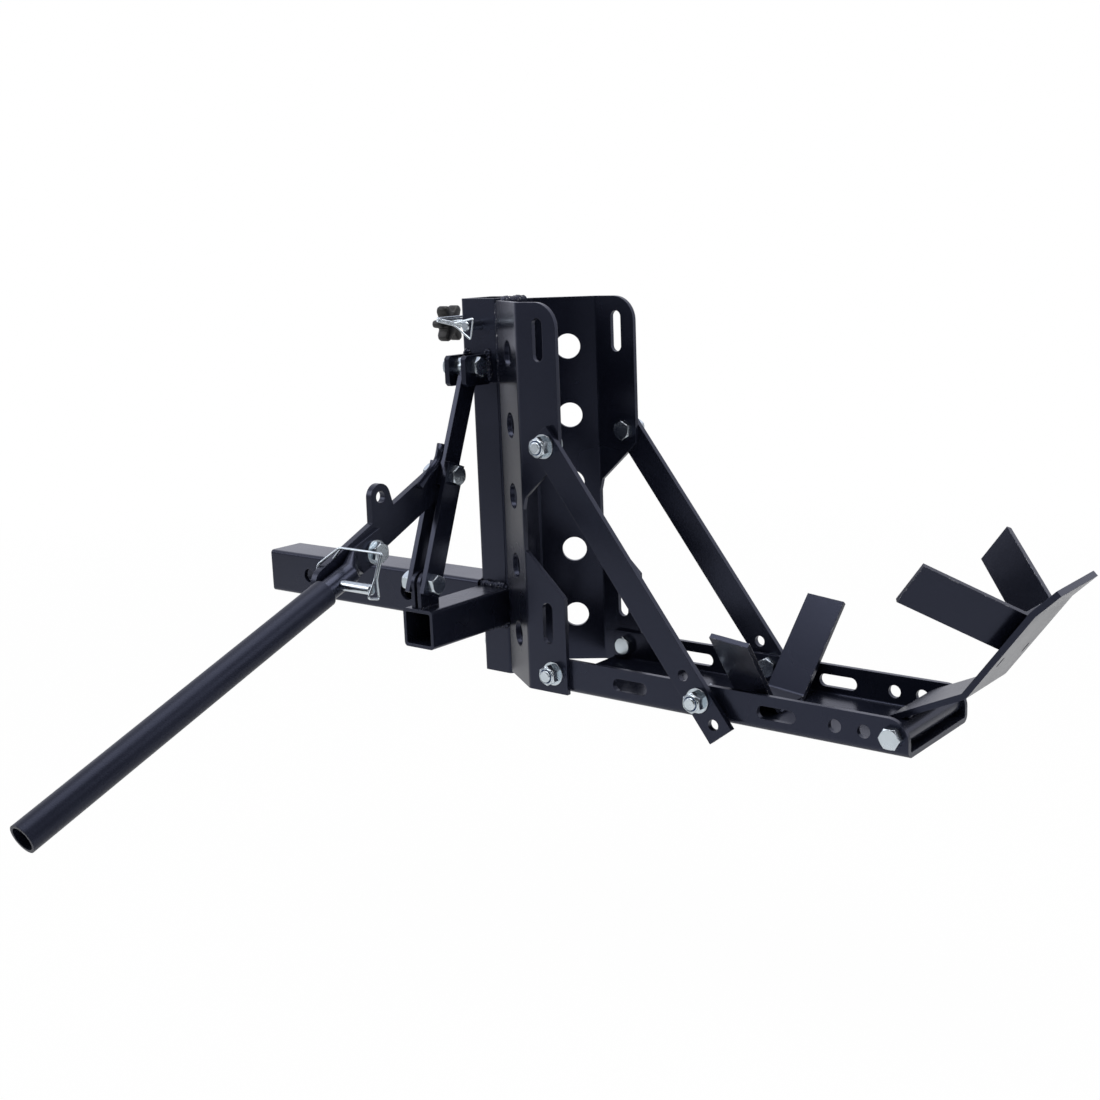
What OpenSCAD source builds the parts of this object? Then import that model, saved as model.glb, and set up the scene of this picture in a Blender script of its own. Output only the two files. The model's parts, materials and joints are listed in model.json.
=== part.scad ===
// Motorcycle carrier for a square hitch receiver.
// Origin: centre of the hitch pin hole in the shank. +X points away from the vehicle along the
// wheel channel, +Z is up, and the lever side is -Y. Sizes in millimetres, angles in degrees.

/* [Square tubes] */
// Outside width of the receiver shank
shank_w = 50; // [46:0.5:52]
// Wall of the receiver shank
shank_wall = 5; // [3:0.5:7]
// Shank length ahead of the hitch pin hole
shank_front = 65; // [45:1:90]
// Bore of the hitch pin hole
hitch_pin_d = 16.5; // [13:0.5:17]
// Distance of the second pin hole from the first
second_hole_x = 160; // [120:1:200]
// Bore of the second pin hole
second_hole_d = 20; // [12:0.5:24]
// Distance of the post's centre from the hitch pin hole
post_x = 285; // [250:1:320]
// Outside width of the post
post_w = 38; // [34:0.5:40]
// Wall of the post
post_wall = 4; // [2.5:0.5:5]
// Foot of the post, below the shank's centre line
post_drop = 75; // [65:1:85]
// Outside width of the side arm
arm_w = 40; // [34:1:44]
// Wall of the side arm
arm_wall = 3.5; // [2.5:0.5:5]
// End of the side arm, from the post's centre line
arm_reach = 140; // [130:1:150]
// Outside corner radius of the square tubes
tube_corner = 4; // [2:0.5:6]

/* [Sleeve] */
// Gap between post and sleeve on each side
slide_gap = 0.8; // [0.5:0.1:1.2]
// Wall of the sleeve
sleeve_wall = 5; // [4:0.5:6]
// Height of the sleeve's top over the upright
sleeve_over = 2; // [0:0.5:6]
// Length of the sleeve
sleeve_h = 86; // [80:1:95]
// Depth of the post's top end inside the sleeve
post_top_inset = 8; // [2:1:15]
// Lift of the carriage on the post
stroke = 55; // [40:1:60]

/* [Upright] */
// Thickness of the folded upright
upright_t = 5; // [3:0.5:6]
// Width of the web against the sleeve
web_w = 52; // [44:1:60]
// Outside width over the two flanges
upright_w = 134; // [126:1:150]
// Height of the upright's lower edge
upright_z = -68; // [-72:1:-66]
// Length of the upright
upright_h = 389; // [380:1:400]
// Distance from web to the fold of the flanges
splay_depth = 59; // [50:1:66]
// Width of the flanges
flange_w = 48; // [42:1:56]
// Corner radius at the top of the flanges
flange_corner = 25; // [10:1:30]
// Bore of the lightening holes
lightening_d = 26; // [18:1:30]
// Pitch of the lightening holes
lightening_pitch = 72; // [60:1:76]
// Number of lightening holes in each strip
lightening_n = 5; // [3:1:5]
// Height of the uppermost lightening holes
lightening_z = 270; // [262:1:280]
// Width of the slots in the flanges
flange_slot_w = 12.5; // [8:0.5:16]
// Length of the slots in the flanges
flange_slot_l = 42; // [30:1:50]
// Height of the flange's lower end
flange_z = 170; // [160:1:176]
// Height of the gusset's tip, where the flange starts again
gusset_z = 73; // [60:1:90]
// Distance of the gusset bolt from the fold of the flange
gusset_bolt_in = 31.2; // [26:0.1:36]
// Height of the gusset bolt over the cradle's bolt
gusset_bolt_up = 2; // [0:0.5:4]

/* [Wheel channel] */
// Thickness of the channel
channel_t = 5; // [3:0.5:6]
// Height of the channel's walls outside
channel_h = 34; // [30:1:40]
// Start of the channel
channel_x = 385; // [376:1:390]
// Length of the channel past the cradle's bolt
channel_past = 15; // [13:1:30]
// Radius at the end of the walls
channel_nose = 20; // [8:1:24]
// Length of the strap slots
strap_slot_l = 40; // [30:1:50]
// Width of the strap slots
strap_slot_w = 12.5; // [8:0.5:15]
// Distance of the first strap slot from the channel's start
strap_slot_from = 105; // [80:1:120]
// Pitch of the strap slots
strap_slot_pitch = 162; // [150:1:170]
// Distance of the first spare hole from the cradle's bolt
spare_hole_from = 55; // [50:1:60]
// Pitch of the spare holes
spare_hole_pitch = 28; // [24:1:32]
// Bore of the spare holes
spare_hole_d = 12.5; // [8:0.5:14]

/* [Braces] */
// Width of a brace
brace_w = 29; // [24:1:34]
// Thickness of a brace
brace_t = 6; // [4:0.5:8]
// Distance of the upper brace bolt from the fold of the flange
brace_top_in = 34.2; // [28:0.1:38]
// Height of the upper brace bolt over the end of the flange
brace_top_up = 13; // [12:0.5:24]
// Place of the lower brace bolt along the channel
brace_foot_x = 575.5; // [520:0.5:580]
// Height of the lower brace bolt over the cradle's bolt
brace_foot_up = 4.5; // [2:0.5:6]
// Overhang of the brace past its upper bolt
brace_over_top = 14; // [12:1:20]
// Overhang of the brace past its lower bolt
brace_over_foot = 40; // [38:1:50]
// Pitch of the spare holes in the brace
brace_pitch = 27; // [24:1:30]

/* [Wheel chocks] */
// Width of the chock bars
chock_w = 40; // [30:1:50]
// Thickness of the chock bars
chock_t = 5; // [3:0.5:6]
// Length of the fixed chock's arms
chock_arm = 105; // [80:1:120]
// Splay of the fixed chock's arms
chock_splay = 39.5; // [30:0.5:45]
// Half width of the fixed chock's foot
chock_foot = 24; // [16:1:30]
// Lean of the fixed chock
chock_lean = 6; // [0:0.5:8]
// Place of the fixed chock along the channel
chock_x = 593; // [560:1:600]

/* [Cradle] */
// Thickness of the cradle plate
cradle_t = 5.5; // [4:0.5:7]
// Width of the cradle plate
cradle_w = 86; // [70:1:96]
// Place of the cradle's bolt
pivot_x = 766; // [762:1:768]
// Height of the cradle's bolt
pivot_z = -49.5; // [-50:0.5:-47]
// Outside diameter of the pivot tube
pivot_tube_d = 22; // [18:0.5:23]
// Rise of the cradle's tongue
tongue_rise = 24.7; // [20:0.1:30]
// Length of the tongue
tongue_l = 72; // [60:1:80]
// Part of the tongue behind the pivot
tongue_back = 5; // [2:1:10]
// Rise of the cradle's middle
middle_rise = 53.8; // [45:0.1:60]
// Length of the cradle's middle
middle_l = 96.6; // [90:1:110]
// Rise of the cradle's end
end_rise = 43.6; // [30:0.1:50]
// Length of the cradle's end
end_l = 29; // [20:1:40]
// Distance of the cradle's chock from the lower fold
cradle_chock_at = 48; // [40:1:52]
// Length of the cradle chock's arms
cradle_arm = 100; // [80:1:110]
// Splay of the cradle chock's arms
cradle_splay = 38; // [30:0.5:45]
// Half width of the cradle chock's foot
cradle_foot = 28; // [20:1:32]

/* [Linkage] */
// Middle of the links along X
linkage_x = 282.5; // [281:0.5:284]
// Distance of the lower pivot from the end of the side arm
low_pivot_in = 16; // [14:0.5:20]
// Height of the lower pivot over the side arm
low_pivot_up = 24; // [20:0.5:30]
// Distance of the middle pivot from the post's centre line
mid_pivot_out = 85; // [80:0.5:92]
// Height of the middle pivot
mid_pivot_z = 149; // [140:0.5:155]
// Distance of the upper pivot from the sleeve
top_pivot_out = 19.2; // [18:0.1:22]
// Height of the upper pivot over the sleeve's lower end
top_pivot_up = 18; // [12:0.5:24]
// Width of the lower links
low_link_w = 24; // [20:1:28]
// Width of the upper link
top_link_w = 22; // [18:1:25]
// Thickness of the links
link_t = 6; // [5:0.5:8]
// Overhang of the links past their pivots
link_over = 12; // [10:0.5:14]
// Space between the plates of the clevis
clevis_mouth = 16.3; // [14:0.1:20]
// Thickness of the clevis plates
clevis_t = 6; // [4:0.5:7]
// Reach of the clevis plates past the upper pivot
clevis_past = 17; // [14:0.5:20]
// Height of the clevis plates over the upper pivot
clevis_over = 12; // [11:0.5:16]
// Depth of the clevis plates under the upper pivot
clevis_under = 19; // [12:0.5:24]
// Side gap between parts that turn on each other
turn_gap = 0.3; // [0.2:0.05:0.5]
// Radial play of a pivot
pivot_play = 0.08; // [0.02:0.01:0.1]
// Radial play of the slotted upper eye
slot_play = 0.3; // [0.3:0.1:0.8]

/* [Lever] */
// Thickness of the lever plate
lever_t = 7; // [5:0.5:8]
// Width of the lever plate
lever_w = 31; // [26:1:34]
// Distance of the lever pin from the post's centre line
lever_pin_out = 254; // [240:0.5:270]
// Height of the lever pin
lever_pin_z = 70.6; // [60:0.1:80]
// Fall of the handle below level
handle_fall = 21.1; // [15:0.1:25]
// Outside diameter of the socket tube
socket_d = 21; // [18:0.5:24]
// Outside diameter of the handle tube
handle_d = 27; // [25:0.5:32]
// Radial play of the handle on the socket
handle_play = 0.25; // [0.1:0.05:0.5]
// Wall of the socket tube
socket_wall = 2; // [1.5:0.5:3]
// Gap between the lever plate and the handle
handle_gap = 0.7; // [0.4:0.1:5]
// End of the handle, past the lever pin
handle_end = 369; // [300:1:500]
// Distance of the lever bolt from the lever pin
lever_bolt_at = 62.6; // [56:0.2:70]
// Distance of the eye from the middle pivot, along the lever plate
eye_along = 88.3; // [80:0.1:96]
// Rise of the eye over the middle of the lever plate
eye_rise = 31.7; // [28:0.1:36]
// Outside radius of the eye
eye_r = 13; // [11:0.5:16]
// Bore of the eye
eye_d = 12; // [8:0.5:14]

/* [Fasteners] */
// Thread diameter of the bolts
bolt_d = 12; // [10:1:12]
// Width across the flats of heads and nuts
hex_af = 18; // [17:0.5:19]
// Height of a bolt head
head_h = 7.5; // [6:0.5:9]
// Height of a nut
nut_h = 10; // [8:0.5:12]
// Outside diameter of a washer
washer_d = 24; // [20:0.5:26]
// Thickness of a washer
washer_t = 2; // [1.5:0.5:3]

/* [Pins and knob] */
// Diameter of the wire lock pins
pin_d = 10; // [8:0.5:10]
// Diameter of the bail wire
wire_d = 2.2; // [1.8:0.1:2.5]
// Reach of the bails from their pins
bail_reach = 34; // [33:1:36]
// Depth of the safety pin and the clamp screw below the sleeve's top
safety_drop = 27; // [24:1:30]
// Radius of the star knob over its lobes
knob_r = 20; // [16:0.5:22]
// Number of the knob's lobes
knob_lobes = 6; // [5:1:7]
// Thickness of the star knob
knob_t = 15; // [12:1:18]
// Distance from the sleeve to the star knob
knob_off = 32; // [28:1:40]
// Diameter of the clamp screw
screw_d = 8; // [6:1:8]

/* [Hidden] */

$fn = 48;
black = [0.10, 0.105, 0.135];
zinc = [0.78, 0.81, 0.86];
plastic = [0.05, 0.05, 0.055];
big = 400;        // longer than any wall that a cutter passes through
cut = 1;          // overlap of a cutter past the face it starts from
fold_r = 6;       // middle radius of the folds in the upright and the chocks
channel_fold_r = 4.5;
seat_play = 0.25; // radial play of a bolt in a plain hole
tight_play = 0.05; // radial play of a bolt where nothing turns on it
tip_bevel = 1;    // of bolts and pins
bolt_past = 2;    // of a bolt past its nut
side_past = 3;    // of a side bolt past its nut
spacer_wall = 4;

sleeve_w = post_w + 2 * (slide_gap + sleeve_wall);
upright_top = upright_z + upright_h;
sleeve_top = upright_top + sleeve_over;
sleeve_z = sleeve_top - sleeve_h;
post_top = sleeve_top - post_top_inset;
safety_z = sleeve_top - safety_drop;
web_x = post_x + sleeve_w / 2;
flange_x = web_x + splay_depth;
flange_y = upright_w / 2;
channel_y = flange_y - upright_t;
channel_z = upright_z + 1;
inner_y = channel_y - channel_t;
strap_z = pivot_z + 0.5;
guide_z = pivot_z + 2.5;
guide_nut_x = web_x + upright_t + turn_gap;
brace_top = [flange_x + brace_top_in, flange_z + brace_top_up];
brace_foot = [brace_foot_x, pivot_z + brace_foot_up];
gusset_bolt_at = [flange_x + gusset_bolt_in, pivot_z + gusset_bolt_up];
channel_end = pivot_x + channel_past;
low_pivot = [low_pivot_in - arm_reach, arm_w / 2 + low_pivot_up];
mid_pivot = [-mid_pivot_out, mid_pivot_z];
top_pivot = [-sleeve_w / 2 - top_pivot_out, sleeve_z + top_pivot_up];
lever_pin = [-lever_pin_out, lever_pin_z];
bolt_r = bolt_d / 2;
pin_r = pin_d / 2;
wire_r = wire_d / 2;

// Faces of the linkage along X, counted from its middle
stack_w = lever_t + link_t + 2 * turn_gap;
link_in = stack_w / 2;
link_out = link_in + link_t;
lever_face = linkage_x - link_in + lever_t;
top_link_x = lever_face + turn_gap;
lug_inset = 2;     // from the middle of the links to a lug's inner face
lug_t = link_in - turn_gap - lug_inset;
clevis_right = top_link_x + link_t + turn_gap;
clevis_left = clevis_right - clevis_mouth - clevis_t;
clevis_y = sleeve_w / 2;
clevis_out = clevis_y + top_pivot_out + clevis_past;
clevis_top = top_pivot[1] + clevis_over;
clevis_bottom = top_pivot[1] - clevis_under;
clevis_bevel = 3;
link_l = norm(top_pivot - mid_pivot);
link_lean = atan2(mid_pivot[0] - top_pivot[0], top_pivot[1] - mid_pivot[1]);
low_link_l = norm(mid_pivot - low_pivot);
low_link_lean = atan2(low_pivot[0] - mid_pivot[0], mid_pivot[1] - low_pivot[1]);

socket_r = socket_d / 2;
tube_x = lever_face + socket_r + turn_gap;
bolt_drop = 4;      // of the lever bolt below the axis of the handle
press_t = 2 * socket_wall;

// Travel of the linkage: the carriage falls by q and the middle pivot swings out
function low_turn(q) =
    let (p = top_pivot - [0, q], d = p - low_pivot, far = norm(d))
    let (a = (low_link_l * low_link_l - link_l * link_l + far * far) / (2 * far))
    let (h = sqrt(max(0, low_link_l * low_link_l - a * a)))
    let (m = low_pivot + (d * a + [-d[1], d[0]] * h) / far)
    angle_of(m - low_pivot) - angle_of(mid_pivot - low_pivot);
function angle_of(v) = atan2(v[1], v[0]);
function turned(v, a) = [v[0] * cos(a) - v[1] * sin(a), v[0] * sin(a) + v[1] * cos(a)];
function mid_at(a) = low_pivot + turned(mid_pivot - low_pivot, a);
lever_swing = low_turn(stroke);
link_swing = angle_of(top_pivot - [0, stroke] - mid_at(lever_swing))
    - angle_of(top_pivot - mid_pivot);
// Place of the upper pivot seen from the link, at a share of an even travel
function eye_place(share) =
    let (v = top_pivot - [0, stroke * share] - mid_at(lever_swing * share))
    turned(v, -angle_of(top_pivot - mid_pivot) - link_swing * share) - [link_l, 0];
eye_path = [for (i = [0 : 8]) eye_place(i / 8)];
eye_low = min([for (p = eye_path) p[0]]);
eye_side_a = min([for (p = eye_path) p[1]]);
eye_side_b = max([for (p = eye_path) p[1]]);
eye_slot_r = bolt_r + (eye_side_b - eye_side_a) / 2 + slot_play;
eye_mid_y = (eye_side_a + eye_side_b) / 2;

// Points and left-hand normals along a path whose corners are rounded by radius r
function unit(v) = v / norm(v);
function left_of(v) = [-v[1], v[0]];
function corner_run(a, b, c, r) =
    let (u = unit(b - a), v = unit(c - b))
    let (turn = atan2(u[0] * v[1] - u[1] * v[0], u * v), s = sign(turn))
    let (centre = b - u * r * tan(abs(turn) / 2) + left_of(u) * r * s)
    let (steps = max(2, ceil(abs(turn) / 15)))
    [for (i = [0 : steps])
        let (n = left_of(turned(u, turn * i / steps))) [centre - n * r * s, n]];
function path_run(p, r) =
    let (last = len(p) - 1)
    concat(
        [[p[0], left_of(unit(p[1] - p[0]))]],
        [for (i = [1 : 1 : last - 1]) each corner_run(p[i - 1], p[i], p[i + 1], r)],
        [[p[last], left_of(unit(p[last] - p[last - 1]))]]
    );
// Flat strip folded along a path, drawn edge on
module folded_strip(p, t, r) {
    run = path_run(p, r);
    last = len(run) - 1;
    polygon(concat(
        [for (i = [0 : last]) run[i][0] + run[i][1] * t / 2],
        [for (i = [last : -1 : 0]) run[i][0] - run[i][1] * t / 2]
    ));
}

module round_square(w, r) {
    square([w, w - 2 * r], center = true);
    square([w - 2 * r, w], center = true);
    for (x = [-1, 1], y = [-1, 1]) {
        translate([x * (w / 2 - r), y * (w / 2 - r)]) circle(r);
    }
}

module square_tube(w, wall, l) {
    linear_extrude(l) difference() {
        round_square(w, tube_corner);
        round_square(w - 2 * wall, max(0.5, tube_corner - wall / 2));
    }
}

// Cylinders along the three axes, starting at a point
module rod_x(p, r, l) {
    translate(p) rotate([0, 90, 0]) cylinder(h = l, r = r);
}
module rod_y(p, r, l) {
    translate(p) rotate([-90, 0, 0]) cylinder(h = l, r = r);
}
module rod_z(p, r, l) {
    translate(p) cylinder(h = l, r = r);
}

// Drawings in a plane raised into plates
module plate_yz(x, t) {
    translate([x, 0, 0]) rotate([90, 0, 90]) linear_extrude(t) children();
}
module plate_xz(y, t) {
    translate([0, y + t, 0]) rotate([90, 0, 0]) linear_extrude(t) children();
}

// Long hole drawn flat, centred, lying along the first axis
module slot_2d(l, w) {
    square([l - w, w], center = true);
    for (x = [-1, 1]) {
        translate([x * (l - w) / 2, 0]) circle(w / 2);
    }
}

// Hexagon with its corners turned down on the outer side
module hex_body(h) {
    corner = hex_af / cos(30) / 2;
    over = corner + 0.1;
    face_r = hex_af / 2 - 0.3;
    down = 1.2;
    intersection() {
        cylinder(h = h, r = corner, $fn = 6);
        union() {
            cylinder(h = h - down, r = over);
            translate([0, 0, h - down]) cylinder(h = down, r1 = over, r2 = face_r);
        }
    }
}
// Bolt along +Z with the underside of its head at the origin
module hex_bolt(l) {
    mirror([0, 0, 1]) hex_body(head_h);
    cylinder(h = l - tip_bevel, r = bolt_r);
    translate([0, 0, l - tip_bevel])
        cylinder(h = tip_bevel, r1 = bolt_r, r2 = bolt_r - tip_bevel);
}
// Nut whose seat is at the origin, standing along +Z
module hex_nut() {
    difference() {
        hex_body(nut_h);
        translate([0, 0, -cut]) cylinder(h = nut_h + 2 * cut, r = bolt_r + tight_play);
    }
}
module washer(t = washer_t) {
    difference() {
        cylinder(h = t, r = washer_d / 2);
        translate([0, 0, -cut]) cylinder(h = t + 2 * cut, r = bolt_r + seat_play);
    }
}
// Fasteners along X, pointing to -X
module bolt_minus_x(x, p, l) {
    translate([x, p[0], p[1]]) rotate([0, -90, 0]) hex_bolt(l);
}
module nut_minus_x(x, p) {
    translate([x, p[0], p[1]]) rotate([0, -90, 0]) hex_nut();
}
// The same piece on both sides of the carrier, pointing outwards
module both_sides(p, y) {
    for (s = [-1, 1]) {
        translate([p[0], s * y, p[1]]) rotate([-90 * s, 0, 0]) rotate([0, 0, 30]) children();
    }
}

// Receiver shank
module receiver_shank() {
    color(black) difference() {
        translate([-shank_front, 0, 0]) rotate([0, 90, 0])
            square_tube(shank_w, shank_wall, shank_front + post_x - post_w / 2);
        rod_y([0, -shank_w, 0], hitch_pin_d / 2, 2 * shank_w);
        rod_y([second_hole_x, -shank_w, 0], second_hole_d / 2, 2 * shank_w);
    }
}

// Post, with a long hole for the safety pin and a hole for the guide bolt
module post() {
    pin_slot_w = pin_d + 1;
    color(black) difference() {
        translate([post_x, 0, -post_drop]) square_tube(post_w, post_wall, post_drop + post_top);
        translate([post_x, 0, safety_z - stroke / 2]) rotate([90, 90, 0])
            linear_extrude(2 * post_w, center = true) slot_2d(stroke + pin_slot_w, pin_slot_w);
        rod_x([post_x - post_w, 0, guide_z], bolt_r + seat_play, 2 * post_w);
    }
}

// Side arm
module side_arm() {
    side = post_x + (arm_w - post_w) / 2;
    color(black) translate([side, -post_w / 2, 0]) rotate([90, 0, 0])
        square_tube(arm_w, arm_wall, arm_reach - post_w / 2);
}

// Two lugs on the side arm that carry the lower pivot
module link_bracket() {
    lug_r = 13;
    foot = arm_w / 2;
    color(black) for (s = [-1, 1]) {
        edge = linkage_x + s * (link_in - turn_gap);
        plate_yz(min(edge, edge - s * lug_t), lug_t) difference() {
            union() {
                translate(low_pivot) circle(lug_r);
                translate([low_pivot[0] - lug_r, foot])
                    square([2 * lug_r, low_pivot[1] - foot]);
            }
            translate(low_pivot) circle(bolt_r + tight_play);
        }
    }
}

// Bolt through the foot of the post that guides the upright
module guide_bolt() {
    x0 = post_x - post_w / 2;
    color(zinc) translate([x0, 0, guide_z]) rotate([0, 90, 0])
        hex_bolt(guide_nut_x + washer_t + nut_h + bolt_past - x0);
}
// Its nut and washer, and the spacer between post and upright
module guide_nut() {
    gap = web_x - post_x - post_w / 2 - turn_gap;
    color(zinc) {
        translate([guide_nut_x + washer_t, 0, guide_z]) rotate([0, 90, 0]) hex_nut();
        translate([guide_nut_x, 0, guide_z]) rotate([0, 90, 0]) washer();
        translate([post_x + post_w / 2, 0, guide_z]) rotate([0, 90, 0]) washer(gap);
    }
}

// Lower pivot
pivot_bolt_l = 2 * (link_out + turn_gap) + nut_h + bolt_past;
module low_pivot_bolt() {
    color(zinc) bolt_minus_x(linkage_x + link_out + turn_gap, low_pivot, pivot_bolt_l);
}
module low_pivot_nut() {
    color(zinc) nut_minus_x(linkage_x - link_out - turn_gap, low_pivot);
}

// Sleeve that slides on the post
module sleeve() {
    color(black) difference() {
        translate([post_x, 0, sleeve_z]) square_tube(sleeve_w, sleeve_wall, sleeve_h);
        rod_y([post_x, -sleeve_w, safety_z], pin_r + pivot_play, 2 * sleeve_w);
        rod_x([post_x - sleeve_w, 0, safety_z], screw_d / 2 + seat_play, sleeve_w);
    }
}

// Two plates on the sleeve that take the upper link
module clevis_side() {
    difference() {
        polygon([
            [-clevis_y, clevis_bottom], [-clevis_y, clevis_top],
            [-clevis_out + clevis_bevel, clevis_top], [-clevis_out, clevis_top - clevis_bevel],
            [-clevis_out, clevis_bottom + clevis_bevel],
            [-clevis_out + clevis_bevel, clevis_bottom]
        ]);
        translate(top_pivot) circle(bolt_r + tight_play);
    }
}
module clevis() {
    color(black) {
        plate_yz(clevis_left, clevis_t) clevis_side();
        plate_yz(clevis_right, clevis_t) clevis_side();
    }
}
module clevis_spacer() {
    x0 = clevis_left + clevis_t;
    color(zinc) plate_yz(x0, top_link_x - turn_gap - x0) translate(top_pivot) difference() {
        circle(bolt_r + spacer_wall);
        circle(bolt_r + tight_play);
    }
}
module top_pivot_bolt() {
    x0 = clevis_right + clevis_t;
    color(zinc) bolt_minus_x(x0, top_pivot, x0 - clevis_left + nut_h + bolt_past);
}
module top_pivot_nut() {
    color(zinc) nut_minus_x(clevis_left, top_pivot);
}

clamp_nut_h = 6;
// Nut welded on the sleeve for the clamp screw
module clamp_nut() {
    x0 = post_x - sleeve_w / 2;
    color(black) translate([x0, 0, safety_z]) rotate([0, -90, 0]) difference() {
        cylinder(h = clamp_nut_h, r = 8.5, $fn = 6);
        translate([0, 0, -cut])
            cylinder(h = clamp_nut_h + 2 * cut, r = screw_d / 2 + pivot_play);
    }
}

// Upright: one plate folded into a hat section, with its flanges cut to shape
upright_path = let (m = upright_t / 2) [
    [flange_x + flange_w, m - flange_y], [flange_x, m - flange_y],
    [web_x + m, -web_w / 2], [web_x + m, web_w / 2],
    [flange_x, flange_y - m], [flange_x + flange_w, flange_y - m]
];
strip_turn = atan2(flange_y - upright_t / 2 - web_w / 2, splay_depth - upright_t / 2);
hole_share = 0.55; // place of the lightening holes across the strips
strip_mid = [
    web_x + upright_t / 2 + hole_share * (splay_depth - upright_t / 2),
    web_w / 2 + hole_share * (flange_y - upright_t / 2 - web_w / 2)
];
slot_from_top = 36;
slot_over_fold = 2;
gusset_slot_z = 3.5;
flange_fall = 41;  // from the end of the flange to where the slope nears the fold
slope_end = 53;
gusset_fall = 42;
// Side view of what is cut from the flanges
module flange_cuts() {
    edge = flange_x + flange_w;
    polygon([
        [edge + big, flange_z], [edge, flange_z], [flange_x + 3, flange_z - flange_fall],
        [flange_x, flange_z - slope_end], [flange_x, gusset_z + 2], [flange_x + 4, gusset_z],
        [edge, gusset_z - gusset_fall], [edge + big, gusset_z - gusset_fall]
    ]);
    translate([edge - flange_corner, upright_top - flange_corner]) difference() {
        square(2 * flange_corner);
        circle(flange_corner);
    }
    for (z = [upright_top - slot_from_top, gusset_slot_z]) {
        translate([edge - flange_w / 2 + slot_over_fold, z]) rotate(90)
            slot_2d(flange_slot_l, flange_slot_w);
    }
    translate(brace_top) circle(bolt_r + seat_play);
    translate(gusset_bolt_at) circle(bolt_r + seat_play);
}
module upright() {
    guide_slot_w = bolt_d + 1;
    color(black) difference() {
        translate([0, 0, upright_z]) linear_extrude(upright_h)
            folded_strip(upright_path, upright_t, fold_r);
        plate_xz(-big / 2, big) flange_cuts();
        for (i = [0 : lightening_n - 1], s = [-1, 1]) {
            translate([strip_mid[0], s * strip_mid[1], lightening_z - i * lightening_pitch])
                rotate([0, 90, s * (strip_turn + 90)])
                    cylinder(h = 30, r = lightening_d / 2, center = true);
        }
        translate([web_x, 0, guide_z + stroke / 2]) rotate([90, -90, 90])
            linear_extrude(30, center = true) slot_2d(stroke + guide_slot_w, guide_slot_w);
    }
}

// Wheel channel
channel_path = let (m = channel_t / 2, top = channel_z + channel_h) [
    [m - channel_y, top], [m - channel_y, channel_z + m],
    [channel_y - m, channel_z + m], [channel_y - m, top]
];
module channel_cuts() {
    top = channel_z + channel_h;
    translate([channel_end - channel_nose, top - channel_nose]) difference() {
        square(2 * channel_nose);
        circle(channel_nose);
    }
    for (i = [0, 1]) {
        translate([channel_x + strap_slot_from + i * strap_slot_pitch, strap_z])
            slot_2d(strap_slot_l, strap_slot_w);
        translate([pivot_x - spare_hole_from + i * spare_hole_pitch, strap_z])
            circle(spare_hole_d / 2);
    }
    translate(gusset_bolt_at) circle(bolt_r + seat_play);
    translate(brace_foot) circle(bolt_r + seat_play);
    translate([pivot_x, pivot_z]) circle(bolt_r + tight_play);
}
module wheel_channel() {
    color(black) difference() {
        translate([channel_x, 0, 0]) rotate([90, 0, 90]) linear_extrude(channel_end - channel_x)
            folded_strip(channel_path, channel_t, channel_fold_r);
        plate_xz(-big / 2, big) channel_cuts();
    }
}

// Braces from the flanges down to the channel
brace_run = brace_foot - brace_top;
brace_l = norm(brace_run);
brace_hole_r = 5.5;
module brace_2d() {
    translate(brace_top) rotate(angle_of(brace_run)) difference() {
        translate([-brace_over_top, -brace_w / 2])
            square([brace_l + brace_over_top + brace_over_foot, brace_w]);
        circle(bolt_r + seat_play);
        for (i = [-1, 0, 1]) {
            translate([brace_l + i * brace_pitch, 0]) circle(i == 0 ? bolt_r + seat_play : brace_hole_r);
        }
    }
}
module braces() {
    color(black) {
        plate_xz(flange_y, brace_t) brace_2d();
        plate_xz(-flange_y - brace_t, brace_t) brace_2d();
    }
}
module brace_spacers() {
    color(zinc) both_sides(brace_foot, channel_y) washer(upright_t);
}
brace_face = flange_y + brace_t;
module brace_bolts() {
    color(zinc) {
        both_sides(brace_top, channel_y)
            hex_bolt(upright_t + brace_t + washer_t + nut_h + side_past);
        both_sides(brace_foot, inner_y)
            hex_bolt(channel_t + upright_t + brace_t + washer_t + nut_h + side_past);
    }
}
module brace_washers() {
    color(zinc) {
        both_sides(brace_top, brace_face) washer();
        both_sides(brace_foot, brace_face) washer();
    }
}
module brace_nuts() {
    color(zinc) {
        both_sides(brace_top, brace_face + washer_t) hex_nut();
        both_sides(brace_foot, brace_face + washer_t) hex_nut();
    }
}

// Bolts that hold the channel between the gussets
module gusset_bolts() {
    color(zinc) both_sides(gusset_bolt_at, inner_y)
        hex_bolt(channel_t + upright_t + washer_t + nut_h + side_past);
}
module gusset_washers() {
    color(zinc) both_sides(gusset_bolt_at, flange_y) washer();
}
module gusset_nuts() {
    color(zinc) both_sides(gusset_bolt_at, flange_y + washer_t) hex_nut();
}

// V chock: a flat bar bent up on both sides, drawn edge on with its foot at the origin
module v_chock(foot, arm, splay) {
    m = chock_t / 2;
    tip = [foot + arm * sin(splay), m + arm * cos(splay)];
    folded_strip([[-tip[0], tip[1]], [-foot, m], [foot, m], tip], chock_t, fold_r);
}
module fixed_chock() {
    lift = chock_w * sin(chock_lean);
    color(black) translate([chock_x, 0, channel_z + channel_t + lift])
        rotate([0, chock_lean, 0]) rotate([90, 0, 90]) linear_extrude(chock_w)
            v_chock(chock_foot, chock_arm, chock_splay);
}

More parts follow.
